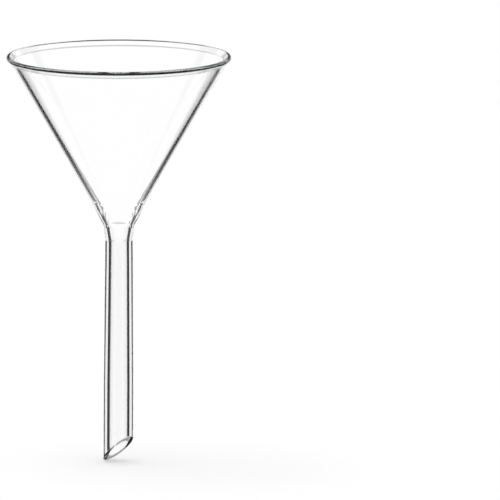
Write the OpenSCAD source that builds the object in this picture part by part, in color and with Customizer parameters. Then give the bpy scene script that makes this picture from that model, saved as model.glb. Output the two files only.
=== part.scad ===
// Conical glass laboratory funnel: a 60 degree cone with a flared, fire-polished lip,
// drawn down through a thickened shoulder into a long stem whose tip is cut at a slant.
// Millimetres, +Z up. The origin is on the axis at the neck, where the cone meets the stem.

/* [Cone] */
// Outside diameter of the mouth, measured over the lip
mouth_d = 90; // [60:1:150]
// Full angle of the cone's outside
cone_angle = 60; // [54:1:70]
// Wall of the cone just under the lip
rim_wall = 1.8; // [1.2:0.1:3]
// Wall of the cone just above the shoulder, where the glass is thicker
low_wall = 2.1; // [1.4:0.1:3.5]

/* [Lip] */
// How far the lip stands out past the cone, measured across the axis
lip_w = 2.2; // [1:0.1:4]
// Lean of the lip from the axis
lip_angle = 46; // [38:1:60]
// Radius of the bend between cone and lip
lip_bend = 0.8; // [0.3:0.1:2]

/* [Neck] */
// Outside diameter at the top of the shoulder, where the straight cone ends
shoulder_d = 21.2; // [18:0.1:30]
// Height of the shoulder above the neck
shoulder_h = 8.8; // [6:0.1:14]
// How far the shoulder swells past a straight line
shoulder_swell = 0.3; // [0.1:0.05:0.6]
// Radius of the bend inside, where the cone meets the shoulder
shoulder_bend = 8; // [2:1:20]
// Outside diameter at the neck
neck_d = 12.5; // [11.5:0.1:15]
// Wall at the neck
neck_wall = 1.9; // [1.2:0.1:2.6]
// Length of the taper from the neck down to the stem
neck_len = 6.5; // [4:0.1:12]
// Radius of the hollow corner between shoulder and neck
neck_fillet = 3; // [1:0.1:6]
// Radius of the soft bends of the throat, and of the outside at the top of the stem
throat_bend = 10; // [2:1:20]

/* [Stem] */
// Length of the stem from the neck to the lowest point of the tip
stem_len = 96.4; // [60:0.1:160]
// Outside diameter at the top of the stem
stem_top_d = 11.1; // [9.5:0.1:11.5]
// Outside diameter of the straight lower part
stem_d = 11.9; // [11:0.1:14]
// Length of the straight lower part, up from the lowest point of the tip
straight_len = 32; // [20:0.5:45]
// Wall of the stem
stem_wall = 2.25; // [1.2:0.05:2.8]
// Slant of the tip, from level
tip_angle = 42.5; // [0:0.5:55]

/* [Hidden] */

// Flats round each ring and steps in each rounded corner of the section
$fn = 180;
corner_steps = 8;
edge_steps = 14;

half_angle = cone_angle / 2;
mouth_r = mouth_d / 2;
shoulder_r = shoulder_d / 2;
neck_r = neck_d / 2;
stem_top_r = stem_top_d / 2;
stem_r = stem_d / 2;
edge_r = rim_wall / 2;

// Section points are [distance from the axis, height]
function along(angle) = [sin(angle), cos(angle)];
function inward(angle) = [-cos(angle), sin(angle)];
function unit(v) = v / norm(v);

// Arc of n steps about a centre, from one angle through a turn
function arc(centre, r, from, turn, n) =
    [for (i = [0:n]) centre + r * [cos(from + turn * i / n), sin(from + turn * i / n)]];

// Arc that rounds the corner at b, between a and c, to the radius r
function rounded(a, b, c, r) =
    let (
        u = unit(a - b),
        v = unit(c - b),
        half = acos(u * v) / 2,
        centre = b + unit(u + v) * r / sin(half),
        start = b + u * r / tan(half) - centre,
        end = b + v * r / tan(half) - centre,
        from = atan2(start.y, start.x),
        turn = (atan2(end.y, end.x) - from + 540) % 360 - 180
    )
    arc(centre, r, from, turn, corner_steps);

// Arc from a to b that stands out by rise past their chord, to the right of the way up
function bowed(a, b, rise) =
    let (
        chord = b - a,
        r = (norm(chord) * norm(chord) / 4 + rise * rise) / (2 * rise),
        side = unit([chord.y, -chord.x]),
        centre = (a + b) / 2 + side * (rise - r),
        from = atan2(a.y - centre.y, a.x - centre.x),
        to = atan2(b.y - centre.y, b.x - centre.x)
    )
    arc(centre, r, from, to - from, corner_steps);

// Where the line through a along u meets the line through b along v
function meeting(a, u, b, v) =
    a + u * ((b.x - a.x) * v.y - (b.y - a.y) * v.x) / (u.x * v.y - u.y * v.x);

// Outside of the wall
tip_z = -stem_len;
straight_z = tip_z + straight_len;
straight_out = [stem_r, straight_z];
taper_out = [stem_top_r, -neck_len];
neck_out = [neck_r, 0];
shoulder_out = [shoulder_r, shoulder_h];
crease_r = mouth_r - lip_w;
crease_out = [crease_r, shoulder_h + (crease_r - shoulder_r) / tan(half_angle)];
shoulder_arc = bowed(neck_out, shoulder_out, shoulder_swell);

// Lip: a strip of the rim's wall with a full-round edge that reaches the mouth's radius
lip_len = (lip_w - edge_r * (1 - cos(lip_angle))) / sin(lip_angle);
edge_out = crease_out + lip_len * along(lip_angle);
edge_centre = edge_out + edge_r * inward(lip_angle);
edge_in = edge_centre + edge_r * inward(lip_angle);

// Inside of the wall
rim_in = crease_out + rim_wall * inward(half_angle);
low_in = shoulder_out + low_wall * inward(half_angle);
crease_in = meeting(low_in, rim_in - low_in, edge_in, along(lip_angle));
neck_in = [neck_r - neck_wall, 0];
bore_top_in = [stem_top_r - stem_wall, -neck_len];
bore_r = stem_r - stem_wall;
straight_in = [bore_r, straight_z];

outside = concat(
    [[stem_r, tip_z], straight_out],
    rounded(straight_out, taper_out, neck_out, throat_bend),
    rounded(taper_out, neck_out, shoulder_arc[1], neck_fillet),
    [for (i = [2:corner_steps]) shoulder_arc[i]],
    rounded(shoulder_out, crease_out, edge_out, lip_bend)
);
lip_edge = arc(edge_centre, edge_r, -lip_angle, 180, edge_steps);
inside = concat(
    rounded(edge_in, crease_in, low_in, lip_bend),
    rounded(crease_in, low_in, neck_in, shoulder_bend),
    rounded(low_in, neck_in, bore_top_in, throat_bend),
    rounded(neck_in, bore_top_in, straight_in, throat_bend),
    [straight_in, [bore_r, tip_z]]
);

// Everything under the slanted plane of the tip, whose lowest point is on -X
module below_tip() {
    reach = 2 * stem_len;
    translate([0, 0, tip_z + stem_r * tan(tip_angle)])
        rotate([0, -tip_angle, 0])
            translate([-reach / 2, -reach / 2, -reach])
                cube(reach);
}

module funnel() {
    color([0.90, 0.94, 0.94, 0.35])
        difference() {
            rotate_extrude() polygon(concat(outside, lip_edge, inside));
            below_tip();
        }
}

funnel();
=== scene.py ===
# %% [markdown]
# A glass laboratory funnel, photographed the way clear glass has to be: against white, with
# something dark out of sight at the sides, so that its edges draw themselves as dark lines.
# The lesson has three parts: the wall of the funnel as one numpy surface, the glass itself,
# and the light that lets the glass be seen.
#
# The imported CAD model comes in first as a fixed frame. Its box is kept.

# %% Load the frame
import math

import bpy
import numpy as np
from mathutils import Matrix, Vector


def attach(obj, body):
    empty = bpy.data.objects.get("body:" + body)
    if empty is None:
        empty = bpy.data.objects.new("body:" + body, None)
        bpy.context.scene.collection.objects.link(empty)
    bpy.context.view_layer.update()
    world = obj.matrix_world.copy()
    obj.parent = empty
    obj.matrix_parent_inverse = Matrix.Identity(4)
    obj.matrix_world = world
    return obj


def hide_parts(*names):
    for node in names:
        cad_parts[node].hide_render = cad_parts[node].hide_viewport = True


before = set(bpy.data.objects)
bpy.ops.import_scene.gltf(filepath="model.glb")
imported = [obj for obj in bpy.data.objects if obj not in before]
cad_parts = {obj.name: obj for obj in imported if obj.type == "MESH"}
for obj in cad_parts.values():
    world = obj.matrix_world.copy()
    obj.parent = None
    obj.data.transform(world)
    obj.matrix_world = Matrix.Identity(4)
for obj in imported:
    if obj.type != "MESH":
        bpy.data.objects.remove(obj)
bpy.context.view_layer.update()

# %% [markdown]
# A funnel is blown or pressed as a cone, and its stem is drawn out of the same glass, so the
# wall runs without a seam from the lip to the tip. What a glassworker would sketch is the wall
# cut in half: distances from the axis, and heights. These are the sizes of that sketch, in
# metres, with the height 0 at the neck.

# %% Sizes of the wall
MM = 0.001
mouth_r = 45 * MM
half_angle = math.radians(30)
rim_wall = 1.8 * MM
low_wall = 2.1 * MM
lip_w = 1.75 * MM
lip_angle = math.radians(46)
lip_bend = 0.8 * MM
shoulder_r = 10.6 * MM
shoulder_h = 8.8 * MM
shoulder_swell = 0.3 * MM
shoulder_bend = 8 * MM
neck_r = 6.25 * MM
neck_wall = 1.9 * MM
neck_len = 6.5 * MM
neck_fillet = 3 * MM
throat_bend = 10 * MM
stem_len = 96.4 * MM
stem_top_r = 5.55 * MM
stem_r = 5.95 * MM
straight_len = 32 * MM
stem_wall = 2.25 * MM
tip_angle = math.radians(42.5)
tip_round = 0.12 * MM
print("mouth", 2 * mouth_r / MM, "mm, stem", round(2 * stem_r / MM, 1), "mm across")

# %% [markdown]
# The sketch needs only straight lines and arcs. The helpers below are the ones a drawing board
# has: an arc, a corner rounded to a radius, a bowed line and the meeting point of two lines.
# Each returns whole arrays of points, so no point is placed by a loop.

# %% Drawing helpers
arc_steps = 16


def along(angle):
    """Unit step up a wall that leans outwards by the angle."""
    return np.array([math.sin(angle), math.cos(angle)])


def inward(angle):
    """Unit step across that wall, from its outside to its inside."""
    return np.array([-math.cos(angle), math.sin(angle)])


def unit(v):
    """The same direction with length 1."""
    return v / np.linalg.norm(v)


def bearing_of(v):
    """Angle of a step in the sketch, from the outward direction."""
    return math.atan2(v[1], v[0])


def arc(centre, r, start, turn, steps=arc_steps):
    """Points at the distance r from the centre, from the angle start through turn."""
    angle = start + turn * np.linspace(0, 1, steps + 1)
    return centre + r * np.stack([np.cos(angle), np.sin(angle)], axis=1)


def rounded(a, b, c, r):
    """The corner at b, between a and c, as an arc of radius r that touches both lines."""
    u, v = unit(a - b), unit(c - b)
    half = math.acos(float(u @ v)) / 2
    centre = b + unit(u + v) * r / math.sin(half)
    start = bearing_of(b + u * r / math.tan(half) - centre)
    end = bearing_of(b + v * r / math.tan(half) - centre)
    return arc(centre, r, start, (end - start + math.pi) % (2 * math.pi) - math.pi)


def bowed(a, b, rise):
    """Arc from a to b that stands out past their chord by rise, to the right of the way up."""
    chord = b - a
    r = (chord @ chord / 4 + rise * rise) / (2 * rise)
    centre = (a + b) / 2 + unit(np.array([chord[1], -chord[0]])) * (rise - r)
    start, end = bearing_of(a - centre), bearing_of(b - centre)
    return arc(centre, r, start, end - start)


def meeting(a, u, b, v):
    """Where the line through a along u meets the line through b along v."""
    return a + u * ((b[0] - a[0]) * v[1] - (b[1] - a[1]) * v[0]) / (u[0] * v[1] - u[1] * v[0])


print("arcs are drawn in", arc_steps, "steps")

# %% [markdown]
# The outside of the wall goes up: stem, neck, a shoulder that swells a little where the glass
# gathered, and the straight cone. At the mouth the wall was heated and pressed outwards, which
# stiffens the rim and keeps drops from running down the cone. So the lip is a strip of the same
# thickness that leans further out, and its edge is a half circle, melted round in the flame.
# A thinner lip would be a wedge, and a wedge of glass bends all light down and looks black.

# %% Outside of the wall and the lip
tip_z = -stem_len
straight_z = tip_z + straight_len

tip_out = np.array([stem_r, tip_z])
straight_out = np.array([stem_r, straight_z])
taper_out = np.array([stem_top_r, -neck_len])
neck_out = np.array([neck_r, 0.0])
shoulder_out = np.array([shoulder_r, shoulder_h])
shoulder_arc = bowed(neck_out, shoulder_out, shoulder_swell)
crease_r = mouth_r - lip_w
crease_out = np.array([crease_r, shoulder_h + (crease_r - shoulder_r) / math.tan(half_angle)])

edge_r = rim_wall / 2
lip_len = (lip_w - edge_r * (1 - math.cos(lip_angle))) / math.sin(lip_angle)
edge_out = crease_out + lip_len * along(lip_angle)
edge_centre = edge_out + edge_r * inward(lip_angle)
edge_in = edge_centre + edge_r * inward(lip_angle)
print("lip:", round(lip_len / MM, 2), "mm long, top at", round((edge_centre[1] + edge_r) / MM, 2), "mm")

# %% [markdown]
# The inside comes down again. Its cone leans a little less than the outside's, so the wall
# thickens from the rim to the shoulder, as it does when hot glass sinks. Below the shoulder it
# runs through soft bends into the bore. The tip's two edges are only just rounded: they were cut
# and then held in the flame for a moment.
#
# Put end to end, the lines and arcs give the whole section. At the neck, a rounded corner takes
# the place of the first quarter of the shoulder's arc.

# %% Inside of the wall and the whole section
rim_in = crease_out + rim_wall * inward(half_angle)
low_in = shoulder_out + low_wall * inward(half_angle)
crease_in = meeting(low_in, rim_in - low_in, edge_in, along(lip_angle))
neck_in = np.array([neck_r - neck_wall, 0.0])
bore_top_in = np.array([stem_top_r - stem_wall, -neck_len])
straight_in = np.array([stem_r - stem_wall, straight_z])
tip_in = np.array([stem_r - stem_wall, tip_z])

section = np.concatenate([
    rounded(tip_in, tip_out, straight_out, tip_round),
    [straight_out],
    rounded(straight_out, taper_out, neck_out, throat_bend),
    rounded(taper_out, neck_out, shoulder_arc[1], neck_fillet),
    shoulder_arc[arc_steps // 4:],
    rounded(shoulder_out, crease_out, edge_out, lip_bend),
    arc(edge_centre, edge_r, -lip_angle, math.pi, 2 * arc_steps),
    rounded(edge_in, crease_in, low_in, lip_bend),
    rounded(crease_in, low_in, neck_in, shoulder_bend),
    rounded(low_in, neck_in, bore_top_in, throat_bend),
    rounded(neck_in, bore_top_in, straight_in, throat_bend),
    [straight_in],
    rounded(straight_in, tip_in, tip_out, tip_round),
])
print("section:", len(section), "points, highest at", round(section[:, 1].max() / MM, 2), "mm")

# %% [markdown]
# Glass shows every unevenness of its surface twice, as light enters and as it leaves. Long thin
# faces would bend the light wrongly near a corner, so the straight lines of the section are
# divided into short steps before it is turned.

# %% Short steps along the section
longest_step = 2 * MM


def divided(loop, step):
    """The closed line through the points of loop, with no stretch of it longer than step."""
    stretch = np.roll(loop, -1, axis=0) - loop
    count = np.ceil(np.linalg.norm(stretch, axis=1) / step).astype(int)
    start = np.repeat(np.arange(len(loop)), count)
    within = np.arange(count.sum()) - np.repeat(np.cumsum(count) - count, count)
    return loop[start] + stretch[start] * (within / count[start])[:, None]


section = divided(section, longest_step)
print("divided section:", len(section), "points")

# %% [markdown]
# Turning the section round the axis gives a surface with two parameters: where on the section,
# and which way round. Both run in a closed ring, so the surface has no seam and no pole. The
# stem's tip was cut across at a slant. A slide along the stem makes that cut: the straight part
# is a true cylinder, so sliding its points up and down leaves its surface as it is, and only
# the end tilts. The slide grows from nothing at the top of the straight part to the full slant
# at the tip. A stem drawn by hand is never quite in line with its cone, so at last everything
# below the top of the stem leans over by a third of a degree.

# %% The funnel's surface
around = 256
lean = math.tan(math.radians(0.3))
lean_from = -14 * MM
lean_way = math.radians(220)


def turned(section, around):
    """x and y are the distance from the axis times cos and sin of the way round; z is the height,
    plus the slant's rise above its lowest point at -x, by the point's share in the slide. The lean
    moves a point sideways by its depth under lean_from times the lean."""
    turn = np.linspace(0, 2 * math.pi, around, endpoint=False)
    x = section[:, :1] * np.cos(turn)
    y = section[:, :1] * np.sin(turn)
    share = np.clip((straight_z - section[:, 1:]) / (straight_len - tip_round), 0, 1)
    z = section[:, 1:] + share * (stem_r + x) * math.tan(tip_angle)
    aside = lean * np.clip(lean_from - z, 0, None)
    return np.stack([x + aside * math.cos(lean_way), y + aside * math.sin(lean_way), z], axis=2)


def ring_faces(rows, columns):
    """Four-cornered faces of a grid that closes on itself both ways, seen from outside."""
    row, column = np.meshgrid(np.arange(rows), np.arange(columns), indexing="ij")
    next_row, next_column = (row + 1) % rows, (column + 1) % columns
    corners = [row * columns + column, row * columns + next_column,
               next_row * columns + next_column, next_row * columns + column]
    return np.stack(corners, axis=2).reshape(-1, 4)


points = turned(section, around)
mesh = bpy.data.meshes.new("funnel_wall")
mesh.from_pydata(points.reshape(-1, 3), [], ring_faces(len(section), around), shade_flat=False)
mesh.validate()
funnel_wall = bpy.data.objects.new("funnel_wall", mesh)
bpy.context.collection.objects.link(funnel_wall)
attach(funnel_wall, "root")
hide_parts("funnel")
print("funnel_wall:", 2 * len(mesh.polygons), "triangles")

# %% [markdown]
# Clear laboratory glass has almost no colour of its own. What makes it glass is that it bends
# light by its index, 1.47, and loses a trace of it on the way through the wall, a little more of
# the red than of the green. That loss belongs to the volume, so that a long way through the
# glass along an edge darkens it and a short way across the wall doesn't.
#
# Drawn glass also keeps faint streaks along its length, and the flame leaves its surface a touch
# uneven. Both are noise in Object coordinates: one stretched along the axis that tips the normal
# by a hair, and one cloudy that lifts the roughness a little above a perfect mirror's. They are
# so weak that they are seen only in how the lines in the stem waver.

# %% Glass
glass_index = 1.472
loss_colour = (0.87, 0.9, 0.89, 1)
loss_density = 12
streak_scale = 350
streak_stretch = 30
streak_strength = 0.1
streak_depth = 0.05 * MM
cloud_scale = 60
cloud_stretch = 2
cloud_from, cloud_to = 0.35, 0.75
cloud_roughness = 0.03


def noise(tree, scale, stretch):
    """Noise in Object coordinates, with waves about 1 / scale metres long, times stretch along z."""
    coords = tree.nodes.new("ShaderNodeTexCoord")
    mapping = tree.nodes.new("ShaderNodeMapping")
    mapping.inputs["Scale"].default_value = (1, 1, 1 / stretch)
    node = tree.nodes.new("ShaderNodeTexNoise")
    node.inputs["Scale"].default_value = scale
    tree.links.new(coords.outputs["Object"], mapping.inputs["Vector"])
    tree.links.new(mapping.outputs["Vector"], node.inputs["Vector"])
    return node.outputs[0]


def clear_glass():
    """Clear glass with drawn streaks in its normal and a cloudy trace of roughness."""
    material = bpy.data.materials.new("clear_glass")
    material.use_nodes = True
    tree = material.node_tree
    shader = tree.nodes["Principled BSDF"]
    shader.inputs["Base Color"].default_value = (1, 1, 1, 1)
    shader.inputs["Transmission Weight"].default_value = 1
    shader.inputs["IOR"].default_value = glass_index
    bump = tree.nodes.new("ShaderNodeBump")
    bump.inputs["Strength"].default_value = streak_strength
    bump.inputs["Distance"].default_value = streak_depth
    tree.links.new(noise(tree, streak_scale, streak_stretch), bump.inputs["Height"])
    tree.links.new(bump.outputs["Normal"], shader.inputs["Normal"])
    cloudy = tree.nodes.new("ShaderNodeMapRange")
    cloudy.inputs["From Min"].default_value = cloud_from
    cloudy.inputs["From Max"].default_value = cloud_to
    cloudy.inputs["To Max"].default_value = cloud_roughness
    tree.links.new(noise(tree, cloud_scale, cloud_stretch), cloudy.inputs["Value"])
    tree.links.new(cloudy.outputs["Result"], shader.inputs["Roughness"])
    loss = tree.nodes.new("ShaderNodeVolumeAbsorption")
    loss.inputs["Color"].default_value = loss_colour
    loss.inputs["Density"].default_value = loss_density
    tree.links.new(loss.outputs["Volume"], tree.nodes["Material Output"].inputs["Volume"])
    return material


glass = clear_glass()
funnel_wall.data.materials.append(glass)
print("glass on", funnel_wall.name, "with", len(glass.node_tree.nodes), "nodes")

# %% [markdown]
# The funnel stands over a plain pale floor. Cameras take a floor under a bright field for white,
# so this one adds a little light of its own for camera rays alone, up to white and no further:
# what the funnel keeps off it still shows as a faint shadow. Rays that have been through the
# glass pass the floor and see the field beyond it, as they would over a table of frosted glass
# that is lit from below.

# %% Floor
floor_half = 3.0
floor_grey = 0.8
floor_glow = 0.19


def maths(tree, operation, *values):
    """A Math node whose inputs are numbers or other nodes' outputs."""
    node = tree.nodes.new("ShaderNodeMath")
    node.operation = operation
    for socket, value in zip(node.inputs, values):
        if isinstance(value, bpy.types.NodeSocket):
            tree.links.new(value, socket)
        else:
            socket.default_value = value
    return node.outputs[0]


def out_of_glass(tree, path):
    """1 for rays that the glass has bent or mirrored, and 0 for all others."""
    return maths(tree, "MAXIMUM", path.outputs["Is Transmission Ray"], path.outputs["Is Glossy Ray"])


def floor_paint():
    """Matt pale paint that also glows for camera rays, and is clear to rays out of the glass."""
    material = bpy.data.materials.new("floor_paint")
    material.use_nodes = True
    tree = material.node_tree
    tree.nodes.clear()
    path = tree.nodes.new("ShaderNodeLightPath")
    matt = tree.nodes.new("ShaderNodeBsdfDiffuse")
    matt.inputs["Color"].default_value = (floor_grey, floor_grey, floor_grey, 1)
    glow = tree.nodes.new("ShaderNodeEmission")
    tree.links.new(maths(tree, "MULTIPLY", path.outputs["Is Camera Ray"], floor_glow),
                   glow.inputs["Strength"])
    both = tree.nodes.new("ShaderNodeAddShader")
    tree.links.new(matt.outputs[0], both.inputs[0])
    tree.links.new(glow.outputs[0], both.inputs[1])
    clear = tree.nodes.new("ShaderNodeBsdfTransparent")
    choose = tree.nodes.new("ShaderNodeMixShader")
    tree.links.new(out_of_glass(tree, path), choose.inputs[0])
    tree.links.new(both.outputs[0], choose.inputs[1])
    tree.links.new(clear.outputs[0], choose.inputs[2])
    out = tree.nodes.new("ShaderNodeOutputMaterial")
    tree.links.new(choose.outputs[0], out.inputs["Surface"])
    return material


corners = np.array([[-1, -1], [1, -1], [1, 1], [-1, 1]]) * floor_half
floor_mesh = bpy.data.meshes.new("floor")
floor_mesh.from_pydata(np.column_stack([corners, np.full(4, tip_z)]), [], [(0, 1, 2, 3)])
floor_mesh.materials.append(floor_paint())
floor = bpy.data.objects.new("floor", floor_mesh)
bpy.context.collection.objects.link(floor)
print("floor at", round(tip_z / MM, 1), "mm")

# %% [markdown]
# Now the light. A clear funnel before an even white tent all round would vanish. Photographers
# of glass use a bright field: the camera looks at a white backdrop, and black cards stand beside
# it, just out of the picture. Looking straight through a wall, one sees the backdrop. Near an
# edge the glass bends the line of sight aside, onto a card, and the edge turns black. How wide a
# line gets is set by how close the card comes to the backdrop.
#
# The tent with its cards is the world here. It is painted by direction: how far to the side of
# the camera's line of sight, and how high above it, both in degrees. The camera's own place is
# needed first, because the cards stand round it.

# %% Directions in the tent
camera_azimuth = math.radians(40)
camera_height = math.radians(9.2)

world = bpy.data.worlds.new("tent")
bpy.context.scene.world = world
world.use_nodes = True
tree = world.node_tree
tree.nodes.clear()
direction = tree.nodes.new("ShaderNodeSeparateXYZ")
tree.links.new(tree.nodes.new("ShaderNodeTexCoord").outputs["Generated"], direction.inputs[0])
dx, dy, dz = direction.outputs
height = maths(tree, "DEGREES", maths(tree, "ARCSINE", dz))


def aside_from(azimuth):
    """How far to the side a direction is, in degrees, for a camera at that azimuth."""
    ahead = maths(tree, "ADD", maths(tree, "MULTIPLY", dx, -math.sin(azimuth)),
                  maths(tree, "MULTIPLY", dy, math.cos(azimuth)))
    right = maths(tree, "ADD", maths(tree, "MULTIPLY", dx, math.cos(azimuth)),
                  maths(tree, "MULTIPLY", dy, math.sin(azimuth)))
    return maths(tree, "ABSOLUTE", maths(tree, "DEGREES", maths(tree, "ARCTAN2", right, ahead)))


def between(value, low, high, soft=1.0):
    """1 from low to high and 0 outside them, with steps that start and end soft degrees away."""
    steps = []
    for edge in (low, high):
        step = tree.nodes.new("ShaderNodeMapRange")
        step.interpolation_type = "SMOOTHSTEP"
        tree.links.new(value, step.inputs["Value"])
        step.inputs["From Min"].default_value = edge - soft
        step.inputs["From Max"].default_value = edge + soft
        steps.append(step.outputs["Result"])
    return maths(tree, "SUBTRACT", *steps)


print("camera at", round(math.degrees(camera_azimuth)), "degrees round and",
      round(math.degrees(camera_height), 1), "up")

# %% [markdown]
# Each card is a span to the side, the same on the left and the right, a span in height, counted
# up from the line of sight, and a brightness. The spans are in degrees. Later cards cover earlier
# ones, so their order matters.
#
# A funnel is looked at from all sides, and so four places round it get a plain set. Long cards at
# the sides draw the stem. Its wall is upright, so its rays stay near the line of sight's own
# height. The cone leans by 30 degrees and bends light down as much as aside, so its edges look
# for a second pair of cards, lower and further in. The last two are white: they are the backdrop.

# %% Plain cards
white, black, nearly_black = 1, 0, 0.01

plain_cards = [
    ((36, 73), (-10, 3.8), nearly_black),
    ((17, 36), (-21, -8), 0.05),
    ((-1, 14), (-5, 5), white),
    ((-1, 36), (-2.5, 2.5), white),
]
print("plain cards:", len(plain_cards))

# %% [markdown]
# The camera's own place comes last and gets a fuller set, in which every feature of the funnel
# has cards of its own, put where the rays that came through that feature go. A white card first
# clears away what the other places left there. The slanted tip throws light far down and far up.
# The cone's cards hang below the line of sight, with a grey one under them for its lower end.
# The throat bends light furthest aside. One card low behind the funnel darkens the far side of
# the lip. For the stem there are the long cards again, and a grey one behind the camera, which
# the front of the stem mirrors. Then comes the white backdrop, and high behind the funnel two
# grey cards for the rim: one for its ends and one for the bend of the lip.

# %% Cards round the camera
clearing_card = ((-2, 62), (-40, -4), white)
tip_cards = [
    ((14, 36), (-34, -27), 0.1),
    ((-2, 70), (33, 50), 0.4),
]
cone_cards = [
    ((24, 40), (-24.5, -20), 0.2),
    ((24, 34), (-21, -11.5), black),
    ((34, 40), (-18.5, -11.5), black),
    ((17, 30), (-16.3, -8), black),
]
throat_cards = [
    ((32, 80), (-12, -4), black),
    ((40, 80), (-16, -4), black),
    ((50, 63), (-21, -15), black),
]
far_lip_card = ((-2, 12), (-47, -17), black)
stem_cards = [
    ((34, 95), (-4.7, 3.8), nearly_black),
    ((140, 182), (-3.2, 3.3), 0.5),
]
backdrop_cards = [
    ((-2, 15), (-8.2, 8.3), white),
    ((-2, 32), (-2.7, 2.7), white),
    ((-2, 62), (7, 13), white),
]
rim_cards = [
    ((-2, 24), (14.5, 23), 0.1),
    ((-2, 24), (8, 14.5), 0.6),
]
camera_cards = [clearing_card, *tip_cards, *cone_cards, *throat_cards, far_lip_card, *stem_cards,
                *backdrop_cards, *rim_cards]
print("cards round the camera:", len(camera_cards))

# %% [markdown]
# To paint the tent, one starts with a white field and lays the cards over it in order. Each card
# is a Mix node: where it covers the field its own brightness takes over, and elsewhere the field
# stays as it was.

# %% Field of cards
places = [
    (0, 3, plain_cards),
    (90, 3, plain_cards),
    (225, 15, plain_cards),
    (45, 25, plain_cards),
    (math.degrees(camera_azimuth), math.degrees(camera_height), camera_cards),
]

bare_field = tree.nodes.new("ShaderNodeValue")
bare_field.outputs[0].default_value = white
field = bare_field.outputs[0]
for azimuth, elevation, cards in places:
    aside = aside_from(math.radians(azimuth))
    above = maths(tree, "ADD", height, elevation)
    for side_span, height_span, level in cards:
        cover = maths(tree, "MULTIPLY", between(aside, *side_span), between(above, *height_span))
        card = tree.nodes.new("ShaderNodeMix")
        tree.links.new(cover, card.inputs["Factor"])
        tree.links.new(field, card.inputs["A"])
        card.inputs["B"].default_value = level
        field = card.outputs["Result"]
print("cards:", sum(len(cards) for _, _, cards in places), "round", len(places), "places")

# %% [markdown]
# Only rays that come out of the glass see the cards. To the camera itself the tent is plain
# white, and so it is to the floor, which is lit evenly from above. Light Path tells these rays
# apart. Light that is caught in the rim runs round in it, from wall to wall, until it has faded.
# The limit on bounces says when that is: with very few the whole lip goes grey, and with no limit
# it loses its dark lines, as no real glass would.

# %% Tent
most_bounces = 16

path = tree.nodes.new("ShaderNodeLightPath")
seen = tree.nodes.new("ShaderNodeMix")
tree.links.new(out_of_glass(tree, path), seen.inputs["Factor"])
seen.inputs["A"].default_value = white
tree.links.new(field, seen.inputs["B"])
background = tree.nodes.new("ShaderNodeBackground")
tree.links.new(seen.outputs["Result"], background.inputs["Color"])
tent = tree.nodes.new("ShaderNodeOutputWorld")
tree.links.new(background.outputs[0], tent.inputs["Surface"])

cycles = bpy.context.scene.cycles
cycles.max_bounces = most_bounces
cycles.glossy_bounces = most_bounces
cycles.transmission_bounces = most_bounces
print("tent:", len(tree.nodes), "nodes")

# %% [markdown]
# One soft lamp hangs high above the funnel. It adds little to the tent's light, but it gives the
# funnel a shadow with a direction. A lamp seen in glass would be a bright spot on every curve,
# so rays out of the glass pass it by.

# %% Lamp
lamp_width = 0.6
lamp_watts = 1.0
lamp_place = (-0.35, -0.1, 1.15)

lamp_data = bpy.data.lights.new("soft_box", "AREA")
lamp_data.shape = "DISK"
lamp_data.size = lamp_width
lamp_data.energy = lamp_watts
lamp = bpy.data.objects.new("soft_box", lamp_data)
bpy.context.collection.objects.link(lamp)
lamp.location = lamp_place
lamp.rotation_euler = lamp.location.to_track_quat("Z", "Y").to_euler()
lamp.visible_glossy = False
lamp.visible_transmission = False
print("lamp", round(lamp.location.length, 2), "m away,", lamp_watts, "W")

# %% [markdown]
# The photographer stood well back with a long lens, a little above the funnel: the mouth is seen
# as a narrow ellipse, and the cone's sides run as straight as in a drawing. A lens of 1200 mm
# keeps that look. The funnel's axis stands left of the middle of the frame, so the camera aims
# beside it and needs no shift.

# %% Camera
frame_width = 0.2002
frame_pixels = 500
axis_pixel = 119.0
aim_z = -10.4 * MM
lens = 1200.0
sensor = 36.0
farthest_seen = 20

camera_data = bpy.data.cameras.new("camera")
camera_data.lens = lens
camera_data.sensor_width = sensor
camera_data.clip_end = farthest_seen
camera = bpy.data.objects.new("camera", camera_data)
bpy.context.collection.objects.link(camera)
bpy.context.scene.camera = camera
back = Vector((math.sin(camera_azimuth) * math.cos(camera_height),
               -math.cos(camera_azimuth) * math.cos(camera_height), math.sin(camera_height)))
to_right = Vector((math.cos(camera_azimuth), math.sin(camera_azimuth), 0))
aim = to_right * (0.5 - axis_pixel / frame_pixels) * frame_width + Vector((0, 0, aim_z))
camera.location = aim + back * (frame_width * lens / sensor)
camera.rotation_euler = back.to_track_quat("Z", "Y").to_euler()
bpy.context.scene.view_settings.view_transform = "Standard"
print("camera", round((camera.location - aim).length, 2), "m away")
